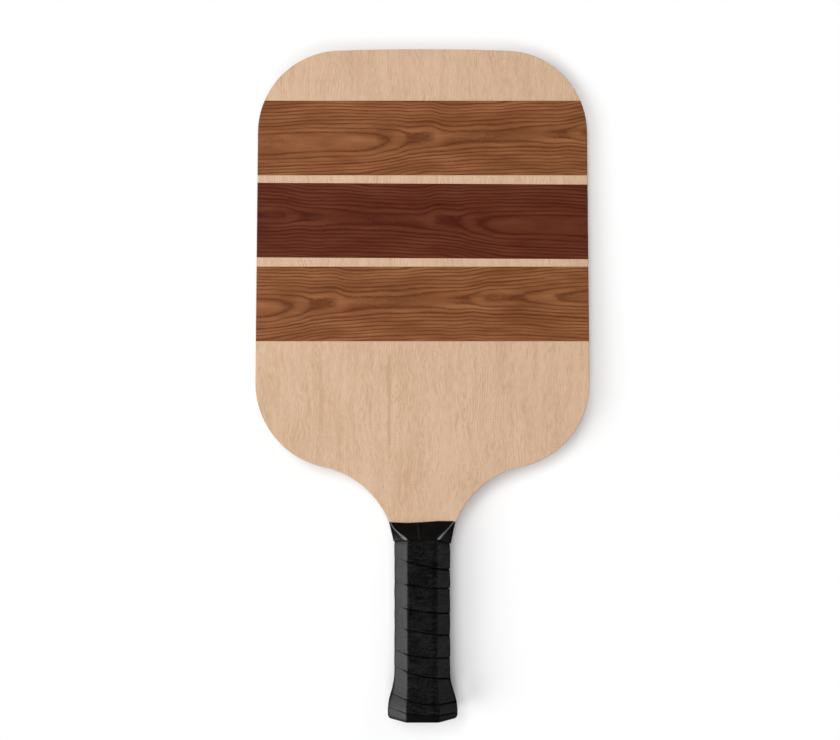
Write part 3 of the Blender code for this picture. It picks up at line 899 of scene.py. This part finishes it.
def dent(point):
    """Small uneven swelling of the cushion, in metres."""
    broad = noise.noise(point * BROAD_DENT_RATE) * BROAD_DENT
    fine = noise.noise(point * FINE_DENT_RATE) * FINE_DENT
    return broad + fine


def pinch(height, x):
    """How far the collar's lower edge squeezes the cushion, at a height and place across."""
    below = max(collar_lower(x) - height, 0) / PINCH_WIDTH
    return PINCH_DEPTH * math.exp(-below * below)


def strip_depth(height, low_edge, high_edge, share, x):
    """How far the strip's skin lies below the handle's full section."""
    margin = min(height - low_edge, high_edge - height)
    across = (height - low_edge) / (high_edge - low_edge)
    depth = edge_depth(margin, edge_drop(share, height)) + OVERLAP_STEP * (across - 0.5) * 2
    depth += pinch(height, x)
    return min(max(depth, 0), EDGE_DROP + OVERLAP_STEP)


def strip_row(turn, index, share):
    """Points across the strip and back along its inside; none where it is too narrow."""
    low_edge = strip_edge(turn + share)
    high_edge = strip_edge(turn + share + 1) - STRIP_GAP
    lower = max(low_edge, rim_top(share) + RIM_GAP)
    upper = min(high_edge, GRIP_TOP)
    if upper - lower < SHORTEST_WIDTH:
        return []
    row = []
    for height in strip_heights(lower, upper):
        x = handle_outline(height, 0.0, GRIP_CORNER_ROUND)[index].x
        depth = strip_depth(height, low_edge, high_edge, share, x)
        point = place(handle_outline(height, depth, GRIP_CORNER_ROUND)[index], height)
        outward = Vector((point.x, 0, point.z - AXIS_Z)).normalized()
        row.append(point + outward * dent(point))
    for step in range(INNER_SAMPLES):
        height = upper + (lower - upper) * step / (INNER_SAMPLES - 1)
        inside = handle_outline(height, GRIP_THICKNESS, INNER_CORNER_ROUND)[index]
        row.append(place(inside, height))
    return row


def make_grip(material):
    """The cushioned strip, wound up the handle as one closed solid."""
    rows = []
    for turn in range(len(STRIP_PATH) - 1):
        for index, share in enumerate(around_shares()):
            row = strip_row(turn, index, share)
            if row:
                rows.append(row)
    mesh = mesh_from_rows("grip", rows, ends=True)
    piece = add_piece("cushion_grip", mesh, material, ["grip"])
    return piece


# ---------------------------------------------------------------- collar and tape

COLLAR_THICKNESS = 0.5 * MM
COLLAR_CLEARANCE = 0.1 * MM
COLLAR_LIP = 0.35 * MM
COLLAR_LIP_TUCK = 0.35 * MM
COLLAR_TOP_HALF_WIDTH = 20.25 * MM
COLLAR_TOP_CORNER = 1.1 * MM
COLLAR_EDGE_ROUND = 3.0 * MM
COLLAR_CORNER_ROUND = 8.0 * MM
COLLAR_ROUNDED_AT = 0.15
COLLAR_TOP_ROUND = 1.4 * MM
COLLAR_LEFT_BOW = 1.7
COLLAR_RIGHT_BOW = 1.3
COLLAR_ROWS = 14
COLLAR_SAG = 0.4 * MM
COLLAR_BEVEL = 0.1 * MM
COLLAR_BEVEL_STEPS = 3

TAPE_TOP = 0.6 * MM
TAPE_BOTTOM = 0.1 * MM
TAPE_THICKNESS = 0.08 * MM


def throat_outline(depth):
    """The blade's section at the throat, as the collar's upper end goes round it."""
    half_thickness = HALF_BLADE + COLLAR_CLEARANCE + COLLAR_THICKNESS - depth
    corners = octagon(COLLAR_TOP_HALF_WIDTH - depth, half_thickness, COLLAR_TOP_CORNER - depth)
    return rounded(corners, COLLAR_TOP_ROUND - depth)


def ridge_lead(x, share):
    """How far the bowed ridges run ahead of straight ones, at a place across and up."""
    bow = COLLAR_LEFT_BOW if x < 0 else COLLAR_RIGHT_BOW
    inward = rise(abs(x), HANDLE_HALF_WIDTH, -HANDLE_CORNER)
    return (1 - (1 - share) ** bow - share) * inward


def collar_point(low, high, share):
    """A point some share of the way from the handle's section to the throat's."""
    lower = collar_lower(low.x) + COLLAR_LIP
    upper = collar_upper(high.x)
    point = low.lerp(high, share)
    point.x += ridge_lead(low.x, share) * (high.x - low.x)
    sag = COLLAR_SAG * math.sin(math.pi * share) * point.y / HANDLE_HALF_THICKNESS
    return place(point - Vector((0, sag)), lower + (upper - lower) * share)


def collar_wall(depth, tuck):
    """Rows of the collar's outer or inner wall, from its tucked lip to the throat."""
    lip = straight_outline(depth + tuck, COLLAR_EDGE_ROUND)
    rows = [[place(point, collar_lower(point.x)) for point in lip]]
    throat = throat_outline(depth + COLLAR_CLEARANCE + COLLAR_THICKNESS)
    for step in range(COLLAR_ROWS + 1):
        share = step / COLLAR_ROWS
        softened = rise(share, 0, COLLAR_ROUNDED_AT)
        radius = COLLAR_EDGE_ROUND + (COLLAR_CORNER_ROUND - COLLAR_EDGE_ROUND) * softened
        handle = straight_outline(depth, radius)
        rows.append([collar_point(low, high, share) for low, high in zip(handle, throat)])
    return rows


def make_collar(material):
    """The stretched rubber collar, from the grip's octagon to the flat throat."""
    outer = collar_wall(-(COLLAR_CLEARANCE + COLLAR_THICKNESS), COLLAR_LIP_TUCK)
    inner = collar_wall(-COLLAR_CLEARANCE, 0.0)
    mesh = mesh_from_rows("collar", outer + inner[::-1], ends=False)
    piece = add_piece("stretched_collar", mesh, material, ["collar"])
    bevel = piece.modifiers.new("soft_edges", "BEVEL")
    bevel.width = COLLAR_BEVEL
    bevel.segments = COLLAR_BEVEL_STEPS
    bevel.limit_method = "ANGLE"
    bevel.angle_limit = SHARP_ANGLE
    return piece


def make_tape(material):
    """Finishing tape round the top of the grip, under the collar's lower edge."""
    section = (
        (-TAPE_THICKNESS, TAPE_BOTTOM),
        (-TAPE_THICKNESS, TAPE_TOP),
        (0.0, TAPE_TOP),
        (0.0, TAPE_BOTTOM),
    )
    rows = []
    for depth, above in section:
        outline = straight_outline(depth, COLLAR_EDGE_ROUND)
        rows.append([place(point, collar_lower(point.x) + above) for point in outline])
    mesh = mesh_from_rows("tape", rows, ends=False)
    add_piece("finishing_tape_band", mesh, material, ["finishing_tape"])


# ---------------------------------------------------------------- cap and hidden pieces

CAP_LENGTH = 20.0 * MM
CAP_END_WALL = 2.4 * MM
CAP_CLEARANCE = 0.15 * MM
CAP_INNER_ROUND = 0.4 * MM
CAP_ROUND_STEPS = 8
CAP_RIM_STEPS = 4
CAP_FLARE_STEPS = 8
RIM_CHAMFER = 0.2 * MM


def cap_row(heights, depth, radius):
    """One ring of the cap, each point of which has its own height."""
    row = []
    for index, height in enumerate(heights):
        row.append(place(handle_outline(height, depth, radius)[index], height))
    return row


def make_cap(material):
    """The moulded butt cap: a rounded rim below the grip and a thin flared cup under it."""
    rims = [rim_top(share) for share in around_shares()]
    rows = []
    for step in range(CAP_ROUND_STEPS + 1):
        rounding = 1 - math.cos(math.pi / 2 * step / CAP_ROUND_STEPS)
        height = BUTT_END + BUTT_ROUNDING * rounding
        rows.append(cap_row([height] * len(rims), 0.0, GRIP_CORNER_ROUND))
    round_end = BUTT_END + BUTT_ROUNDING
    for step in range(1, CAP_RIM_STEPS + 1):
        share = step / CAP_RIM_STEPS
        depth = RIM_CHAMFER if step == CAP_RIM_STEPS else 0.0
        heights = [round_end + (rim - round_end) * share for rim in rims]
        rows.append(cap_row(heights, depth, GRIP_CORNER_ROUND))
    for step in range(CAP_FLARE_STEPS + 1):
        share = step / CAP_FLARE_STEPS
        heights = [rim + (CAP_LENGTH - rim) * share for rim in rims]
        rows.append(cap_row(heights, WOOD_DEPTH, INNER_CORNER_ROUND))
    inside = straight_outline(WOOD_DEPTH - CAP_CLEARANCE, CAP_INNER_ROUND)
    rows.append([place(point, CAP_LENGTH) for point in inside])
    rows.append([place(point, CAP_END_WALL) for point in inside])
    mesh = mesh_from_rows("cap", rows, ends=True)
    return add_piece("moulded_butt_cap", mesh, material, ["butt_cap"])


def finish_inner_pieces():
    """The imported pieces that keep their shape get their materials."""
    wire = staple_steel("staple_wire", *STAPLE_STEEL)
    wood = ply_edge("scale_wood", *SCALE_WOOD, False, SCALE_SEED)
    looks = (
        ("front_cap_staple", wire),
        ("back_cap_staple", wire),
        ("front_handle_scale", wood),
        ("back_handle_scale", wood),
    )
    for node, material in looks:
        slots = NODES[node].data.materials
        slots.clear()
        slots.append(material)


# ---------------------------------------------------------------- studio

CAMERA_HEIGHT = 0.800
CAMERA_X = -1.5 * MM
CAMERA_FROM_BUTT = 0.210
FOCAL_LENGTH = 56.1
SENSOR_WIDTH = 36.0
FLOOR_SIZE = 12.0
FLOOR_CELLS = 8
FLOOR_GAP = 0.15 * MM

# Brightness of the world's parts
LEFT_GLOW = 2.8
LEFT_GLOW_AHEAD = 4.5
RIGHT_GLOW = 0.75
RIGHT_GLOW_LEAST = 0.1
OVERHEAD_SHARE = 0.03
BELOW_SHARE = 0.05
ZENITH_GLOW = 0.3
BACKDROP = 1.1

WARM = (1.02, 0.99, 0.99)
COOL = (0.985, 1.008, 1.008)
WHITE = (1, 1, 1)
# Each lamp's degrees from straight up, azimuth in degrees from +X, strength and width in
# degrees; the suns have a tint too
SUNS = (
    ("overhead_light", 0, 0, 0.87, 24, WARM),
    ("upper_left_light", 22, 120, 1.16, 24, COOL),
    ("left_light", 45, 192, 1.45, 40, COOL),
    ("foot_light", 45, 266, 0.84, 30, WARM),
    ("right_fill_light", 45, 45, 0.24, 30, WARM),
)
COLLAR_GLINTS = (
    ("collar_left_glint", 77, 155, 27.0, 58),
    ("collar_right_glint", 77, 35, 16.0, 44),
)
HANDLE_GLINTS = (
    ("grip_left_glint", 74, 190, 5.1, 44),
    ("grip_right_glint", 78, 350, 0.44, 44),
)


def make_floor():
    """The surface the paddle rests on: the butt's lower edge and the tip of the head touch."""
    butt = Vector((0, BUTT_Y + FLARE_END, 0))
    tip_low, tip_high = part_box("back_tip_veneer")
    tip = Vector((0, tip_high.y, tip_low.z))
    slope = math.atan2(tip.z - butt.z, tip.y - butt.y)
    bpy.ops.mesh.primitive_grid_add(
        x_subdivisions=FLOOR_CELLS, y_subdivisions=FLOOR_CELLS, size=FLOOR_SIZE
    )
    floor = bpy.context.object
    floor.name = "studio_floor"
    below_butt = Matrix.Translation(butt - Vector((0, 0, FLOOR_GAP)))
    floor.matrix_world = below_butt @ Matrix.Rotation(slope, 4, "X")
    floor.data.materials.append(white_floor("studio_floor_white", *FLOOR_WHITE))
    floor.visible_glossy = False


def toward(zenith, azimuth):
    """The direction some degrees from straight up, at an azimuth in degrees from +X."""
    tilt, turn = math.radians(zenith), math.radians(azimuth)
    level = math.sin(tilt)
    return Vector((level * math.cos(turn), level * math.sin(turn), math.cos(tilt)))


def make_sun(name, zenith, azimuth, strength, width, colour):
    """A broad soft light with no reflection of its own; the world makes the reflections."""
    data = bpy.data.lights.new(name, "SUN")
    data.energy = strength
    data.color = colour
    data.angle = math.radians(width)
    sun = bpy.data.objects.new(name, data)
    sun.rotation_euler = toward(zenith, azimuth).to_track_quat("Z", "Y").to_euler()
    sun.visible_glossy = False
    bpy.context.scene.collection.objects.link(sun)
    return sun


def make_glint(name, zenith, azimuth, strength, width, pieces):
    """A lamp that shows only as a reflection, and only in the given pieces."""
    lamp = make_sun(name, zenith, azimuth, strength, width, WHITE)
    lamp.visible_glossy = True
    lamp.visible_diffuse = False
    receivers = bpy.data.collections.new(f"{name}_receivers")
    for piece in pieces:
        receivers.objects.link(piece)
    lamp.light_linking.receiver_collection = receivers


def make_world():
    """What glossy surfaces reflect: dark overhead, pale low on the left and fainter right."""
    world = bpy.data.worlds.new("studio")
    bpy.context.scene.world = world
    world.use_nodes = True
    world.cycles_visibility.diffuse = False
    graph = Graph(world.node_tree)
    direction = graph.node("ShaderNodeTexCoord", {}).outputs["Generated"]
    x, y, z = graph.node("ShaderNodeSeparateXYZ", {"Vector": direction}).outputs
    ahead = graph.ease(y, -0.1, 0.5, LEFT_GLOW, LEFT_GLOW_AHEAD)
    left = graph.scale(graph.ease(x, -0.92, -0.45, 1.0, 0.0), ahead)
    right = graph.ease(x, 0.3, 0.8, RIGHT_GLOW_LEAST, RIGHT_GLOW)
    overhead = graph.ease(z, 0.15, 0.72, 1.0, OVERHEAD_SHARE)
    below = graph.ease(z, -0.35, 0.02, BELOW_SHARE, 1.0)
    glow = graph.scale(graph.scale(graph.add(left, right), overhead), below)
    glow = graph.add(glow, graph.ease(z, 0.75, 0.95, 0.0, ZENITH_GLOW))
    camera = graph.node("ShaderNodeLightPath", {}).outputs["Is Camera Ray"]
    seen = graph.node("ShaderNodeMix", {"Factor": camera, "A": glow, "B": BACKDROP})
    background = graph.tree.nodes["Background"]
    background.inputs["Color"].default_value = (*WHITE, 1)
    graph.tree.links.new(seen.outputs["Result"], background.inputs["Strength"])


def make_camera():
    data = bpy.data.cameras.new("camera")
    data.lens = FOCAL_LENGTH
    data.sensor_width = SENSOR_WIDTH
    camera = bpy.data.objects.new("camera", data)
    camera.location = (CAMERA_X, BUTT_Y + CAMERA_FROM_BUTT, AXIS_Z + CAMERA_HEIGHT)
    bpy.context.scene.collection.objects.link(camera)
    bpy.context.scene.camera = camera


def make_studio():
    bpy.context.scene.view_settings.view_transform = "Standard"
    make_camera()
    make_floor()
    make_world()
    for lamp in SUNS:
        make_sun(*lamp)


# ---------------------------------------------------------------- assembly

make_studio()
make_blade()
grip = make_grip(cushion_leather("cushion_leather_black", *LEATHER_BLACK))
collar = make_collar(stretched_rubber("collar_rubber_black", *RUBBER_BLACK))
cap = make_cap(moulded_plastic("cap_plastic_black", CAP_BLACK))
for glint in COLLAR_GLINTS:
    make_glint(*glint, pieces=(collar,))
for glint in HANDLE_GLINTS:
    make_glint(*glint, pieces=(grip, cap))
make_tape(vinyl_tape("vinyl_tape_black", *VINYL_BLACK))
finish_inner_pieces()
